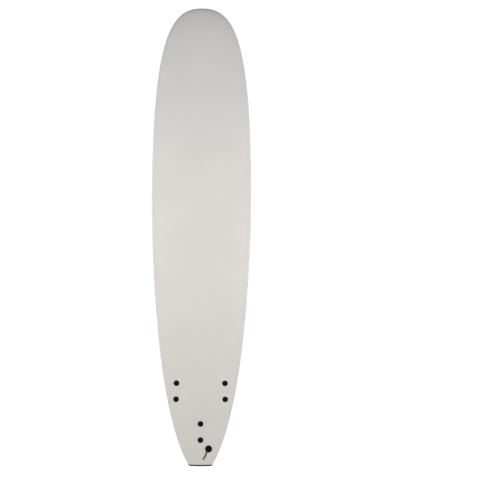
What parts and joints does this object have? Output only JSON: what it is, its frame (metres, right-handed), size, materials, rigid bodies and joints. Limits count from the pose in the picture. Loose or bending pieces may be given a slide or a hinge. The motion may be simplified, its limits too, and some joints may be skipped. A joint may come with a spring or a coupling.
{
  "type": "surfboard",
  "caption": "Soft-topped foam longboard with a rubber tail bumper, bolt-through fins and a leash plug with its string.",
  "frame": {"origin": "middle of the flat end of the tail bumper", "axes": "+Z from the tail to the nose, -Y out of the deck, +Y out of the fin side, +X to the right as seen from the deck"},
  "size_m": [0.602, 0.2705, 2.743],
  "materials": {
    "foam_skin": "soft closed-cell foam sheet",
    "slick": "smooth slick sheet",
    "foam": "bead foam",
    "wood": "plain sawn",
    "bumper_rubber": "matte",
    "fin_plastic": "satin moulded",
    "black_plastic": "moulded",
    "brass": "turned",
    "steel": "plain stainless",
    "blackened_steel": "blackened stainless",
    "cord": "braided"
  },
  "bodies": {
    "board": {"foam_core": "foam", "stringer_left": "wood", "stringer_right": "wood", "deck_skin": "foam_skin", "bottom_skin": "slick", "tail_bumper": "bumper_rubber", "ferrule_left_front": "black_plastic", "ferrule_left_rear": "black_plastic", "ferrule_right_front": "black_plastic", "ferrule_right_rear": "black_plastic", "ferrule_center_front": "black_plastic", "ferrule_center_rear": "black_plastic", "leash_cup": "black_plastic", "leash_bar": "steel", "leash_nut": "black_plastic", "leash_hitch": "cord", "leash_string_a": "cord", "leash_string_b": "cord", "leash_knot": "cord"},
    "fin_left": {"fin_left": "fin_plastic", "fin_inserts_left": "brass"},
    "screw_left_front": {"fin_screw_left_front": "blackened_steel"},
    "screw_left_rear": {"fin_screw_left_rear": "blackened_steel"},
    "fin_right": {"fin_right": "fin_plastic", "fin_inserts_right": "brass"},
    "screw_right_front": {"fin_screw_right_front": "blackened_steel"},
    "screw_right_rear": {"fin_screw_right_rear": "blackened_steel"},
    "fin_center": {"fin_center": "fin_plastic", "fin_inserts_center": "brass"},
    "screw_center_front": {"fin_screw_center_front": "blackened_steel"},
    "screw_center_rear": {"fin_screw_center_rear": "blackened_steel"}
  },
  "joints": [
    {"name": "fin_left_lift", "type": "slide", "parent": "board", "child": "fin_left", "axis": [0, 0.9989, -0.0467], "range_m": [0, 0.04]},
    {"name": "screw_left_front_out", "type": "slide", "parent": "board", "child": "screw_left_front", "axis": [0, -0.9989, 0.0467], "range_m": [0, 0.06]},
    {"name": "screw_left_rear_out", "type": "slide", "parent": "board", "child": "screw_left_rear", "axis": [0, -0.9989, 0.0467], "range_m": [0, 0.06]},
    {"name": "fin_right_lift", "type": "slide", "parent": "board", "child": "fin_right", "axis": [0, 0.9989, -0.0467], "range_m": [0, 0.04]},
    {"name": "screw_right_front_out", "type": "slide", "parent": "board", "child": "screw_right_front", "axis": [0, -0.9989, 0.0467], "range_m": [0, 0.06]},
    {"name": "screw_right_rear_out", "type": "slide", "parent": "board", "child": "screw_right_rear", "axis": [0, -0.9989, 0.0467], "range_m": [0, 0.06]},
    {"name": "fin_center_lift", "type": "slide", "parent": "board", "child": "fin_center", "axis": [0, 0.9976, -0.0694], "range_m": [0, 0.04]},
    {"name": "screw_center_front_out", "type": "slide", "parent": "board", "child": "screw_center_front", "axis": [0, -0.9976, 0.0694], "range_m": [0, 0.06]},
    {"name": "screw_center_rear_out", "type": "slide", "parent": "board", "child": "screw_center_rear", "axis": [0, -0.9976, 0.0694], "range_m": [0, 0.06]}
  ]
}
